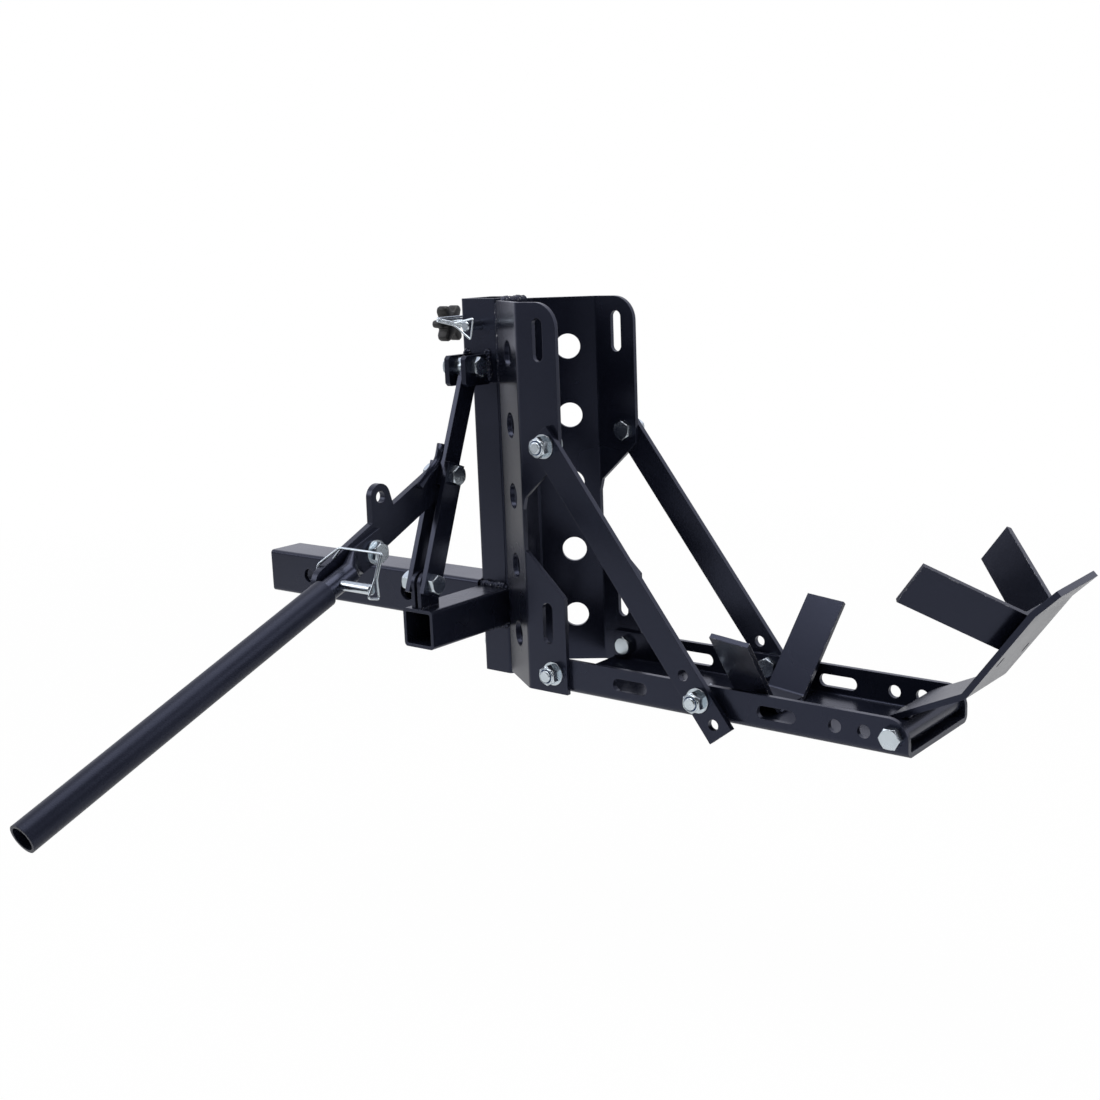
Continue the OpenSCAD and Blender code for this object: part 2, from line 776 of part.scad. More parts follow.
// Tilting cradle, drawn in the side view with the pivot at the origin
function ray(a) = [cos(a), sin(a)];
cradle_off = pivot_tube_d / 2 + cradle_t / 2;
cradle_a = left_of(ray(tongue_rise)) * cradle_off - ray(tongue_rise) * tongue_back;
cradle_b = cradle_a + ray(tongue_rise) * tongue_l;
cradle_c = cradle_b + ray(middle_rise) * middle_l;
cradle_d = cradle_c + ray(end_rise) * end_l;
module cradle_plate() {
    drain_at = cradle_b + ray(middle_rise) * (cradle_chock_at - 9);
    drain_l = 11;
    drain_w = 4;
    color(black) translate([pivot_x, 0, pivot_z]) difference() {
        plate_xz(-cradle_w / 2, cradle_w)
            folded_strip([cradle_a, cradle_b, cradle_c, cradle_d], cradle_t, fold_r);
        for (s = [-1, 1]) {
            translate([drain_at[0], s * cradle_foot, drain_at[1]])
                rotate([0, -middle_rise, 0]) linear_extrude(4 * cradle_t, center = true)
                    slot_2d(drain_l, drain_w);
        }
    }
}
module cradle_tube() {
    half = inner_y - turn_gap;
    color(black) translate([pivot_x, 0, pivot_z]) difference() {
        rod_y([0, -half, 0], pivot_tube_d / 2, 2 * half);
        rod_y([0, -half - cut, 0], bolt_r + pivot_play, 2 * (half + cut));
    }
}
module cradle_chock() {
    place = cradle_b + ray(middle_rise) * cradle_chock_at
        + left_of(ray(middle_rise)) * cradle_t / 2;
    color(black) translate([pivot_x + place[0], 0, pivot_z + place[1]])
        rotate([0, -middle_rise, 0]) rotate([90, 0, 90]) linear_extrude(chock_w)
            v_chock(cradle_foot, cradle_arm, cradle_splay);
}
module cradle_bolt() {
    color(zinc) translate([pivot_x, -channel_y, pivot_z]) rotate([-90, 0, 0])
        hex_bolt(2 * channel_y + nut_h + bolt_past);
}
module cradle_nut() {
    color(zinc) translate([pivot_x, channel_y, pivot_z]) rotate([-90, 0, 0]) hex_nut();
}

// Bar with square ends between two pivots, drawn along its length
module link_2d(l, w) {
    translate([-link_over, -w / 2]) square([l + 2 * link_over, w]);
}
module along_low_link() {
    translate(low_pivot) rotate(90 + low_link_lean) children();
}
module lower_links() {
    color(black) for (x = [linkage_x - link_out, linkage_x + link_in]) {
        plate_yz(x, link_t) along_low_link() difference() {
            link_2d(low_link_l, low_link_w);
            circle(bolt_r + pivot_play);
            translate([low_link_l, 0]) circle(bolt_r + tight_play);
        }
    }
}
module mid_pivot_bolt() {
    color(zinc) bolt_minus_x(linkage_x + link_out, mid_pivot, 2 * link_out + nut_h + bolt_past);
}
module mid_pivot_nut() {
    color(zinc) nut_minus_x(linkage_x - link_out, mid_pivot);
}

// Upper link, with a slotted upper eye
module upper_link() {
    eye_wall = 3;
    color(black) plate_yz(top_link_x, link_t) translate(mid_pivot) rotate(90 + link_lean)
        difference() {
            union() {
                translate([-link_over, -top_link_w / 2])
                    square([link_over + link_l + eye_low, top_link_w]);
                translate([link_l + eye_low / 2, eye_mid_y])
                    slot_2d(2 * (eye_slot_r + eye_wall) - eye_low, 2 * (eye_slot_r + eye_wall));
            }
            circle(bolt_r + pivot_play);
            translate([link_l + eye_low / 2, eye_mid_y])
                slot_2d(2 * eye_slot_r - eye_low, 2 * eye_slot_r);
        }
}

// Lever plate: a bar from the middle pivot down to the lever pin, with an eye
lever_run = lever_pin - mid_pivot;
lever_lean = angle_of(lever_run);
eye_at = mid_pivot + ray(lever_lean) * eye_along - left_of(ray(lever_lean)) * eye_rise;
module lever_plate() {
    eye_foot = mid_pivot + ray(lever_lean) * (eye_along + 12);
    foot_low = 16;
    foot_high = 22;
    color(black) plate_yz(linkage_x - link_in, lever_t) difference() {
        union() {
            translate(mid_pivot) rotate(lever_lean)
                translate([norm(lever_run) / 2, 0]) slot_2d(norm(lever_run) + lever_w, lever_w);
            translate(eye_at) circle(eye_r);
            polygon([
                eye_at + [-eye_r, 0], eye_foot - [foot_low, 0], eye_foot + [foot_high, 0],
                eye_at + [eye_r - 1, 5]
            ]);
        }
        translate(eye_at) circle(eye_d / 2);
        translate(mid_pivot) circle(bolt_r + tight_play);
        translate(lever_pin) circle(pin_r + pivot_play);
        translate(lever_bolt_place) circle(bolt_r + seat_play);
    }
}
// Stop on the lever plate that the upper link leans against
module lever_stop() {
    stop_from = lever_w / 2 - 3;
    stop_l = 20;
    stop_w = 6;
    x0 = linkage_x - link_in;
    color(black) plate_yz(x0, top_link_x + link_t - x0)
        translate(mid_pivot) rotate(90 + link_lean)
            translate([stop_from, top_link_w / 2 + turn_gap]) square([stop_l, stop_w]);
}

// Socket tube: pressed flat where it is bolted to the lever plate
module on_handle() {
    translate([tube_x, lever_pin[0], lever_pin[1]]) rotate([handle_fall, 0, 0]) children();
}
lever_bolt_place = lever_pin + ray(handle_fall) * lever_bolt_at
    - left_of(ray(handle_fall)) * bolt_drop;
press_w = socket_d * 1.35;
press_from = 40;   // start of the flat part, from the lever pin
press_over = 15;   // flat part past the lever bolt
round_to = 20;     // end of the round part
socket_tail = 80;  // length of the socket inside the handle
thin = 0.1;        // slice that the hull starts from
module socket_flat(l) {
    translate([-socket_r, 0, -press_w / 2]) cube([press_t, l, press_w]);
}
module lever_socket() {
    color(black) difference() {
        union() {
            on_handle() {
                translate([0, press_from, 0])
                    socket_flat(lever_bolt_at + press_over - press_from);
                difference() {
                    hull() {
                        translate([0, press_from, 0]) socket_flat(thin);
                        rod_y([0, round_to, 0], socket_r, thin, $fn = 32);
                    }
                    rod_y([0, round_to - cut, 0], socket_r - socket_wall, cut + 5);
                }
                difference() {
                    rod_y([0, -socket_tail, 0], socket_r, socket_tail + round_to);
                    rod_y([0, -socket_tail - cut, 0], socket_r - socket_wall,
                        socket_tail + round_to + 2 * cut);
                }
            }
        }
        rod_x([tube_x - socket_d, lever_pin[0], lever_pin[1]], pin_r + pivot_play, 2 * socket_d);
        rod_x([tube_x - socket_d, lever_bolt_place[0], lever_bolt_place[1]],
            bolt_r + seat_play, 2 * socket_d);
    }
}
lever_bolt_face = tube_x - socket_r + press_t;
module lever_bolt() {
    color(zinc) {
        bolt_minus_x(lever_bolt_face + washer_t, lever_bolt_place,
            lever_bolt_face + washer_t - linkage_x + link_in + nut_h + bolt_past);
        translate([lever_bolt_face, lever_bolt_place[0], lever_bolt_place[1]])
            rotate([0, 90, 0]) washer();
    }
}
module lever_nut() {
    color(zinc) nut_minus_x(linkage_x - link_in, lever_bolt_place);
}
handle_start = lever_w / 2 + handle_gap;
module handle_tube() {
    color(black) on_handle() difference() {
        rod_y([0, -handle_end, 0], handle_d / 2, handle_end - handle_start);
        rod_y([0, -handle_end - cut, 0], socket_r + handle_play,
            handle_end - handle_start + 2 * cut);
    }
}

// Lock pin along +X with its cross hole at the origin; side holes lie along Y or along Z
pin_tail = 6;
module lock_pin(l, hole_turn) {
    color(zinc) difference() {
        union() {
            rod_x([-pin_tail, 0, 0], pin_r, pin_tail + l - tip_bevel);
            translate([l - tip_bevel, 0, 0]) rotate([0, 90, 0])
                cylinder(h = tip_bevel, r1 = pin_r, r2 = pin_r - tip_bevel);
        }
        rotate([hole_turn, 0, 0]) rod_y([0, -pin_d, 0], wire_r + pivot_play, 2 * pin_d);
    }
}
// Round wire along a list of points, its corners bent with a short arc
wire_sides = 8;
wire_bend = 2.5;
function bend(a, b, c) =
    let (r = min(wire_bend, norm(b - a) / 2.2, norm(c - b) / 2.2))
    let (p = b - unit(b - a) * r, q = b + unit(c - b) * r)
    [for (t = [0 : 1 / 3 : 1.001]) p * (1 - t) * (1 - t) + b * 2 * t * (1 - t) + q * t * t];
function wire_line(p) = concat(
    [p[0]],
    [for (i = [1 : len(p) - 2]) each bend(p[i - 1], p[i], p[i + 1])],
    [p[len(p) - 1]]
);
function heading(p, i) = unit(p[min(i + 1, len(p) - 1)] - p[max(i - 1, 0)]);
function square_to(v, d) = unit(v - d * (v * d));
// Side directions carried along the line without twist
function wire_sides_of(p, v0) =
    [for (i = 0, v = square_to(v0, heading(p, 0)); i < len(p);
        i = i + 1, v = i < len(p) ? square_to(v, heading(p, i)) : v) v];
module wire(points, v0) {
    p = wire_line(points);
    side = wire_sides_of(p, v0);
    n = wire_sides;
    rings = [for (i = [0 : len(p) - 1], k = [0 : n - 1])
        let (d = heading(p, i), a = 360 * k / n)
        p[i] + wire_r * (side[i] * cos(a) + cross(d, side[i]) * sin(a))];
    polyhedron(rings, concat(
        [[for (k = [0 : n - 1]) k]],
        [for (i = [0 : len(p) - 2], k = [0 : n - 1], half = [0, 1])
            let (a = i * n + k, b = i * n + (k + 1) % n)
            half == 0 ? [a, a + n, b] : [b, a + n, b + n]],
        [[for (k = [n - 1 : -1 : 0]) (len(p) - 1) * n + k]]
    ));
}
// One strand of a bail from the pin's side to the middle of the loop at its free end
loop_neck = 11;    // of the loop's narrow end over the pin's axis
loop_half = 11;
loop_low = 12;     // of the loop's wide end below the pin's axis
loop_ahead = 1.4;  // from the pin's tip to the loop
bend_ahead = 6;    // from the pin's tip to the bend above it
bail_leg = bail_reach - 9;
bail_step = 12;
ear_gap = 0.6;
twin = wire_r + 0.15;
function strand_end(l) = [
    [l + bend_ahead, twin, bail_reach],
    [l + loop_ahead + wire_r, twin, loop_neck],
    [l + loop_ahead + wire_r, loop_half, -loop_low]
];
function there_and_back(points) = concat(
    [for (q = points) [q[0], -q[1], q[2]]],
    [for (i = [len(points) - 1 : -1 : 0]) points[i]]
);
// Bail that turns on a cross hole along Y: a leg on each side of the pin
module cross_bail(l) {
    ear = pin_r + wire_r + ear_gap;
    color(zinc) wire(there_and_back(concat(
        [[0, 1, 0], [0, ear, 0], [0, ear, bail_leg], [bail_step, twin, bail_reach]], strand_end(l)
    )), [1, 0, 0]);
}
// Bail that turns on a cross hole along Z: both wires leave a bead on the side of the bail
module side_bail(l) {
    bead_z = pin_r + 4;
    bead_h = 4;
    wire_past = 2;
    color(zinc) {
        rod_z([0, 0, -pin_r - wire_past], wire_r, bead_z + pin_r + wire_past - 1);
        rod_z([0, 0, bead_z - bead_h / 2], 2.4 * wire_r, bead_h);
        wire(there_and_back(concat(
            [[0, twin, bead_z + bead_h / 2], [0, twin, bail_leg], [bail_step, twin, bail_reach]],
            strand_end(l)
        )), [1, 0, 0]);
    }
}

lever_pin_l = 68;
lever_pin_head = linkage_x - link_in - wire_r - 1;
bail_lean = 14;    // of the lever pin's bail towards the post
module at_lever_pin() {
    translate([lever_pin_head, lever_pin[0], lever_pin[1]]) rotate([-bail_lean, 0, 0]) children();
}
module lever_lock_pin() {
    at_lever_pin() lock_pin(lever_pin_l, 0);
}
module lever_pin_bail() {
    at_lever_pin() cross_bail(lever_pin_l);
}

safety_back = 9;   // from the sleeve to the pin's cross hole
safety_tip = 47;   // from the post's centre line to the pin's tip
safety_l = sleeve_w / 2 + safety_back + safety_tip;
bail_tilt = 12;    // of the safety pin's bail over level
module at_safety_pin() {
    translate([post_x, sleeve_w / 2 + safety_back, safety_z])
        rotate([0, bail_tilt, 0]) rotate([0, 0, -90]) rotate([90, 0, 0]) children();
}
module safety_pin() {
    at_safety_pin() lock_pin(safety_l, 90);
}
module safety_pin_bail() {
    at_safety_pin() side_bail(safety_l);
}

// Star knob with rounded lobes on a hub
knob_cap = 3;
module star_knob() {
    lobe_r = knob_r * 0.27;
    x0 = post_x - sleeve_w / 2 - knob_off;
    color(plastic) translate([x0, 0, safety_z]) rotate([0, -90, 0]) difference() {
        union() {
            linear_extrude(knob_t - knob_cap) {
                circle(knob_r * 0.55);
                for (i = [0 : knob_lobes - 1]) {
                    rotate(i * 360 / knob_lobes) {
                        translate([0, -lobe_r * 0.85])
                            square([knob_r - lobe_r, lobe_r * 1.7]);
                        translate([knob_r - lobe_r, 0]) circle(lobe_r);
                    }
                }
            }
            translate([0, 0, knob_t - knob_cap])
                cylinder(h = knob_cap, r1 = knob_r * 0.55, r2 = knob_r * 0.4);
        }
        translate([0, 0, -cut])
            cylinder(h = knob_t - knob_cap + cut, r = screw_d / 2 + tight_play);
    }
}
module clamp_screw() {
    end_in_knob = 4;
    x0 = post_x - sleeve_w / 2 - knob_off - knob_t + end_in_knob;
    x1 = post_x - post_w / 2 - turn_gap;
    color(zinc) rod_x([x0, 0, safety_z], screw_d / 2, x1 - x0);
}

receiver_shank();
post();
side_arm();
link_bracket();
guide_bolt();
guide_nut();
low_pivot_bolt();
low_pivot_nut();
sleeve();
clevis();
clevis_spacer();
top_pivot_bolt();
top_pivot_nut();
clamp_nut();
upright();
wheel_channel();
braces();
brace_spacers();
brace_bolts();
brace_washers();
brace_nuts();
gusset_bolts();
gusset_washers();
gusset_nuts();
fixed_chock();
cradle_bolt();
cradle_nut();
cradle_plate();
cradle_tube();
cradle_chock();
lower_links();
mid_pivot_bolt();
mid_pivot_nut();
lever_plate();
lever_stop();
lever_socket();
lever_bolt();
lever_nut();
handle_tube();
upper_link();
lever_lock_pin();
lever_pin_bail();
safety_pin();
safety_pin_bail();
star_knob();
clamp_screw();
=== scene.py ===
import json
import math
import random

import bmesh
import bpy
from mathutils import Matrix, Vector


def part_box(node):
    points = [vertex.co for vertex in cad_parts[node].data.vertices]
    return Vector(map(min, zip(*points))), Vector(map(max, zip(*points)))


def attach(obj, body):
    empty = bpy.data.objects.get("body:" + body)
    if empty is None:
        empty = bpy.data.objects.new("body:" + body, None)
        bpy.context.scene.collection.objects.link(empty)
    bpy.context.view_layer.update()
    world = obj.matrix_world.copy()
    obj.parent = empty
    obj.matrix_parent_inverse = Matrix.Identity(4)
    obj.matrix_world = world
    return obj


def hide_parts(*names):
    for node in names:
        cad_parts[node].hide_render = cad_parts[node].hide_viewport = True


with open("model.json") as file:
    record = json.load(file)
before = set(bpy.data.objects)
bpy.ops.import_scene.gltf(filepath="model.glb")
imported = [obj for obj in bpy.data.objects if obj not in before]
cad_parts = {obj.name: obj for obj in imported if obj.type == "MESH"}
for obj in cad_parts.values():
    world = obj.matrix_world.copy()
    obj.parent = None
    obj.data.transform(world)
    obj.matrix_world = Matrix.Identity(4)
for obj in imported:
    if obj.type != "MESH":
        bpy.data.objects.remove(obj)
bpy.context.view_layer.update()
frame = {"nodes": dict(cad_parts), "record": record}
scene = bpy.context.scene
scene.view_settings.view_transform = "Standard"
MM = 0.001
random.seed(11)


def vec(x, y, z):
    """A point given in millimetres, as metres."""
    return Vector((x, y, z)) * MM


class Box:
    """A CAD node's box at rest, in millimetres to a hundredth."""

    def __init__(self, node):
        low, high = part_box(node)
        self.left, self.near, self.foot = (round(value / MM, 2) for value in low)
        self.right, self.far, self.top = (round(value / MM, 2) for value in high)
        self.mid_x = (self.left + self.right) / 2
        self.mid_y = (self.near + self.far) / 2
        self.mid_z = (self.foot + self.top) / 2


# Camera, fitted to straight edges and bolt centres in the photograph
CAMERA_AT = vec(1302.98, -1184.99, 377.28)
CAMERA_AZIMUTH = math.radians(51.60)
CAMERA_ELEVATION = math.radians(11.31)
CAMERA_ROLL = math.radians(-2.06)
FOCAL_PX = 1486.02
PHOTO_PX = 1100.0
CENTRE_PX = (562.05, 538.80)
SENSOR_MM = 36.0


def make_camera():
    back = Vector((
        math.cos(CAMERA_ELEVATION) * math.cos(CAMERA_AZIMUTH),
        -math.cos(CAMERA_ELEVATION) * math.sin(CAMERA_AZIMUTH),
        math.sin(CAMERA_ELEVATION),
    ))
    right = (-back).cross(Vector((0, 0, 1))).normalized()
    up = right.cross(-back).normalized()
    tilted_right = right * math.cos(CAMERA_ROLL) + up * math.sin(CAMERA_ROLL)
    tilted_up = up * math.cos(CAMERA_ROLL) - right * math.sin(CAMERA_ROLL)
    data = bpy.data.cameras.new("camera")
    data.sensor_width = SENSOR_MM
    data.lens = SENSOR_MM * FOCAL_PX / PHOTO_PX
    data.shift_x = 0.5 - CENTRE_PX[0] / PHOTO_PX
    data.shift_y = CENTRE_PX[1] / PHOTO_PX - 0.5
    data.clip_start = 0.05
    camera = bpy.data.objects.new("camera", data)
    scene.collection.objects.link(camera)
    turn = Matrix((tilted_right, tilted_up, back)).transposed()
    camera.matrix_world = Matrix.Translation(CAMERA_AT) @ turn.to_4x4()
    scene.camera = camera


make_camera()

# Sockets of the Mix node when it mixes colours
COLOUR_A, COLOUR_B, COLOUR_OUT = 6, 7, 2


class Nodes:
    """The node tree of a material or world, with short ways to add and join nodes."""

    def __init__(self, owner):
        owner.use_nodes = True
        self.owner = owner
        self.tree = owner.node_tree

    def add(self, kind, **settings):
        node = self.tree.nodes.new(kind)
        for key, value in settings.items():
            setattr(node, key, value)
        return node

    def join(self, a, b):
        self.tree.links.new(a, b)

    def math(self, operation, a, b):
        node = self.add("ShaderNodeMath", operation=operation)
        self.join(a, node.inputs[0])
        self.join(b, node.inputs[1])
        return node.outputs["Value"]

    def spread(self, value, low, high, to_low, to_high, curve="LINEAR"):
        """The range from low to high, mapped to another range and held at its ends."""
        node = self.add("ShaderNodeMapRange", interpolation_type=curve)
        node.inputs["From Min"].default_value = low
        node.inputs["From Max"].default_value = high
        node.inputs["To Min"].default_value = to_low
        node.inputs["To Max"].default_value = to_high
        self.join(value, node.inputs["Value"])
        return node.outputs["Result"]

    def mix(self, factor, a, b):
        """Two colours, each a tuple or a socket, mixed by a factor."""
        node = self.add("ShaderNodeMix", data_type="RGBA")
        self.join(factor, node.inputs["Factor"])
        for value, socket in ((a, node.inputs[COLOUR_A]), (b, node.inputs[COLOUR_B])):
            if isinstance(value, tuple):
                socket.default_value = (*value, 1.0)
            else:
                self.join(value, socket)
        return node.outputs[COLOUR_OUT]

    def blend(self, factor, a, b):
        """Two shaders mixed by a factor."""
        node = self.add("ShaderNodeMixShader")
        for place, value in enumerate((factor, a, b)):
            self.join(value, node.inputs[place])
        return node.outputs["Shader"]

    def seen_direct(self, ray):
        """One for rays that reach the camera straight or through something clear."""
        return self.math("MAXIMUM", ray.outputs["Is Camera Ray"], ray.outputs["Is Transmission Ray"])


# An edge is where the rounded and the flat normal part: the cosines where it starts and is full
EDGE_START, EDGE_FULL = 0.995, 0.85
BEVEL_SAMPLES = 4


class Surface(Nodes):
    """A new material with textures in the object's own coordinates."""

    def __init__(self, name):
        super().__init__(bpy.data.materials.new(name))
        self.shader = self.tree.nodes["Principled BSDF"]
        self.place = self.add("ShaderNodeTexCoord").outputs["Object"]

    def noise(self, scale, detail=2.0, roughness=0.5):
        node = self.add("ShaderNodeTexNoise")
        node.inputs["Scale"].default_value = scale
        node.inputs["Detail"].default_value = detail
        node.inputs["Roughness"].default_value = roughness
        self.join(self.place, node.inputs["Vector"])
        return node.outputs["Fac"]

    def edges(self, radius):
        """Normal rounded over the edges, and how much of an edge each point is."""
        bevel = self.add("ShaderNodeBevel", samples=BEVEL_SAMPLES)
        bevel.inputs["Radius"].default_value = radius
        flat = self.add("ShaderNodeNewGeometry").outputs["Normal"]
        dot = self.add("ShaderNodeVectorMath", operation="DOT_PRODUCT")
        self.join(bevel.outputs["Normal"], dot.inputs[0])
        self.join(flat, dot.inputs[1])
        edge = self.spread(dot.outputs["Value"], EDGE_START, EDGE_FULL, 0.0, 1.0)
        return bevel.outputs["Normal"], edge

    def bump(self, height, strength, distance, normal=None):
        node = self.add("ShaderNodeBump")
        node.inputs["Strength"].default_value = strength
        node.inputs["Distance"].default_value = distance
        self.join(height, node.inputs["Height"])
        if normal is not None:
            self.join(normal, node.inputs["Normal"])
        return node.outputs["Normal"]

    def specular(self, level, tint):
        self.shader.inputs["Specular IOR Level"].default_value = level
        self.shader.inputs["Specular Tint"].default_value = tint

    def drive(self, **values):
        """Join sockets to the shader's inputs, named with _ for a space."""
        for name, value in values.items():
            self.join(value, self.shader.inputs[name.replace("_", " ")])


# Coat
BLACK_LOW = (0.0042, 0.0051, 0.0098)
BLACK_HIGH = (0.0070, 0.0082, 0.0150)
# Painted edge highlight: a paler colour laid along the rounded edges
COAT_EDGE_HIGHLIGHT = (0.045, 0.048, 0.064)
COAT_TINT = (0.58, 0.64, 0.95, 1.0)
COAT_EDGE_R = 0.9 * MM
CLOUD_SCALE = 9.0
EDGE_HIGHLIGHT_SCALE = 60.0
PEEL_SCALE = 620.0
PEEL_DEPTH = 0.4 * MM
CHIP_COLOUR = (0.42, 0.42, 0.44)
CHIP_SCALE = 150.0
CHIP_FROM, CHIP_TO = 0.55, 0.57


def coat_material(name, rough=(0.20, 0.29), peel=0.08, level=0.58, chipped=False, lift=1.0):
    """Bluish black powder coat: fine orange peel, cloudy gloss, a painted highlight of paler colour along
    the edges, and a few chips.
    """
    n = Surface(name)
    cloud = n.noise(CLOUD_SCALE, 3.0)
    normal, edge = n.edges(COAT_EDGE_R)
    low = tuple(channel * lift for channel in BLACK_LOW)
    high = tuple(channel * lift for channel in BLACK_HIGH)
    colour = n.mix(n.spread(cloud, 0.35, 0.65, 0.0, 1.0), low, high)
    highlight_patches = n.spread(n.noise(EDGE_HIGHLIGHT_SCALE), 0.3, 0.7, 0.2, 0.9)
    # Painted highlight: the edges turn paler, in patches of noise
    colour = n.mix(n.math("MULTIPLY", edge, highlight_patches), colour, COAT_EDGE_HIGHLIGHT)
    if chipped:
        specks = n.spread(n.noise(CHIP_SCALE, 4.0, 0.75), CHIP_FROM, CHIP_TO, 0.0, 1.0)
        near_edge = n.spread(edge, 0.1, 0.5, 0.0, 1.0)
        colour = n.mix(n.math("MULTIPLY", specks, near_edge), colour, CHIP_COLOUR)
    n.specular(level, COAT_TINT)
    n.drive(
        Base_Color=colour,
        Roughness=n.spread(cloud, 0.3, 0.7, *rough),
        Normal=n.bump(n.noise(PEEL_SCALE, 1.0), peel, PEEL_DEPTH, normal))
    return n.owner


# Zinc
# Painted edge highlight: a paler metal colour laid along the rounded edges
ZINC_EDGE_HIGHLIGHT = (0.86, 0.89, 0.94)
ZINC_EDGE_R = 0.6 * MM
ZINC_CLOUD_SCALE = 70.0
SCRATCH_SCALE = 900.0
SCRATCH_DEPTH = 0.2 * MM


def zinc_material(name, dark, pale, rough):
    """Zinc plating with a faint blue, cloudy and slightly scratched, with a painted highlight of paler
    metal along the edges.
    """
    n = Surface(name)
    cloud = n.noise(ZINC_CLOUD_SCALE, 3.0)
    normal, edge = n.edges(ZINC_EDGE_R)
    colour = n.mix(n.spread(cloud, 0.3, 0.7, 0.0, 1.0), dark, pale)
    n.shader.inputs["Metallic"].default_value = 1.0
    n.drive(
        # Painted highlight: paler metal on the edges
        Base_Color=n.mix(edge, colour, ZINC_EDGE_HIGHLIGHT),
        Roughness=n.spread(cloud, 0.3, 0.7, *rough),
        Normal=n.bump(n.noise(SCRATCH_SCALE), 0.12, SCRATCH_DEPTH, normal))
    return n.owner


# Plastic
PLASTIC_EDGE_R = 0.8 * MM
GRAIN_SCALE = 1100.0
GRAIN_DEPTH = 0.3 * MM


def plastic_material(name, low, high, rough):
    """Moulded plastic with a fine grain, a little smoother on the edges."""
    n = Surface(name)
    normal, edge = n.edges(PLASTIC_EDGE_R)
    n.drive(
        Base_Color=n.mix(n.spread(n.noise(40.0), 0.3, 0.7, 0.0, 1.0), low, high),
        Roughness=n.spread(edge, 0.0, 1.0, rough, rough * 0.8),
        Normal=n.bump(n.noise(GRAIN_SCALE, 1.0), 0.25, GRAIN_DEPTH, normal))
    return n.owner


# Weld
CRATER_SCALE = 260.0
CRATER_DEPTH = 1.2 * MM
SPATTER_SCALE = 380.0


def weld_material(name):
    """Weld bead under the coat: rough, with tiny craters and bare specks."""
    n = Surface(name)
    cloud = n.noise(CRATER_SCALE, 4.0, 0.7)
    specks = n.spread(n.noise(SPATTER_SCALE, 3.0, 0.7), 0.62, 0.66, 0.0, 1.0)
    n.specular(0.5, COAT_TINT)
    n.drive(
        Base_Color=n.mix(specks, n.mix(cloud, BLACK_LOW, BLACK_HIGH), CHIP_COLOUR),
        Roughness=n.spread(cloud, 0.3, 0.7, 0.16, 0.4),
        Normal=n.bump(cloud, 0.6, CRATER_DEPTH))
    return n.owner


COAT = coat_material("black_powder_coat")
COAT_WORN = coat_material("black_powder_coat_worn", level=0.5, chipped=True, lift=0.85)
COAT_TUBE = coat_material("black_coat_handle", rough=(0.36, 0.46), peel=0.16, level=0.36, lift=1.3)
ZINC = zinc_material("zinc_plating", (0.54, 0.61, 0.66), (0.70, 0.77, 0.83), (0.18, 0.30))
WIRE = zinc_material("zinc_wire", (0.50, 0.56, 0.61), (0.68, 0.74, 0.79), (0.14, 0.24))
KNOB = plastic_material("knob_plastic", (0.0065, 0.0065, 0.007), (0.011, 0.011, 0.012), 0.42)
NYLON = plastic_material("nylon_ring", (0.020, 0.055, 0.17), (0.030, 0.075, 0.22), 0.4)
WELD = weld_material("weld_under_coat")

MATERIAL_OF_SLOT = {"black_coat": COAT, "zinc": ZINC, "knob_plastic": KNOB}
MATERIAL_OF_NODE = {
    "fixed_chock": COAT_WORN,
    "cradle_chock": COAT_WORN,
    "handle_tube": COAT_TUBE,
    "lever_lock_pin": WIRE,
    "lever_pin_bail": WIRE,
    "safety_pin": WIRE,
    "safety_pin_bail": WIRE,
}


def dress_nodes():
    """Give each CAD node its own material, or else the one of its slot."""
    for row in frame["record"]["subparts"]:
        name = row["node"]
        materials = frame["nodes"][name].data.materials
        materials.clear()
        materials.append(MATERIAL_OF_NODE.get(name, MATERIAL_OF_SLOT[row["material_slot"]]))


dress_nodes()


# Skins over rings of points
def frame_along(way):
    """Two unit vectors square to a way and to each other."""
    helper = Vector((0, 0, 1)) if abs(way.z) < 0.9 else Vector((1, 0, 0))
    side = way.cross(helper).normalized()
    return side, way.cross(side).normalized()


def ring(centre, side, up, radii):
    """Points round a centre, one for each radius."""
    turns = (2 * math.pi * k / len(radii) for k in range(len(radii)))
    return [centre + (side * math.cos(t) + up * math.sin(t)) * r for t, r in zip(turns, radii)]


def skin(name, rings, closed_ends=True):
    """Smooth mesh over rings that all have the same count of points."""
    mesh = bpy.data.meshes.new(name)
    count = len(rings[0])
    last = (len(rings) - 1) * count
    faces = []
    for start in range(0, last, count):
        for k in range(count):
            a = start + k
            b = start + (k + 1) % count
            faces.append((a, b, b + count, a + count))
    if closed_ends:
        faces.append(tuple(range(count))[::-1])
        faces.append(tuple(range(last, last + count)))
    mesh.from_pydata([tuple(point) for points in rings for point in points], [], faces)
    mesh.update()
    work = bmesh.new()
    work.from_mesh(mesh)
    bmesh.ops.recalc_face_normals(work, faces=work.faces)
    work.to_mesh(mesh)
    work.free()
    for face in mesh.polygons:
        face.use_smooth = True
    return mesh


def new_piece(name, mesh, material, body):
    """A piece that only the scene has, riding on a CAD body."""
    mesh.materials.append(material)
    obj = bpy.data.objects.new(name, mesh)
    scene.collection.objects.link(obj)
    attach(obj, body)
    return obj


# Threads and lock nuts
THREAD_SIDES = 28
THREAD_STEPS = 6
CREST_H = 0.42 * MM
CREST_SUNK = 0.45
PROUD = 0.02 * MM
POINT_L = 0.9 * MM
POINT_CUT = 0.8 * MM
POINT_RISE = 1.2 * MM


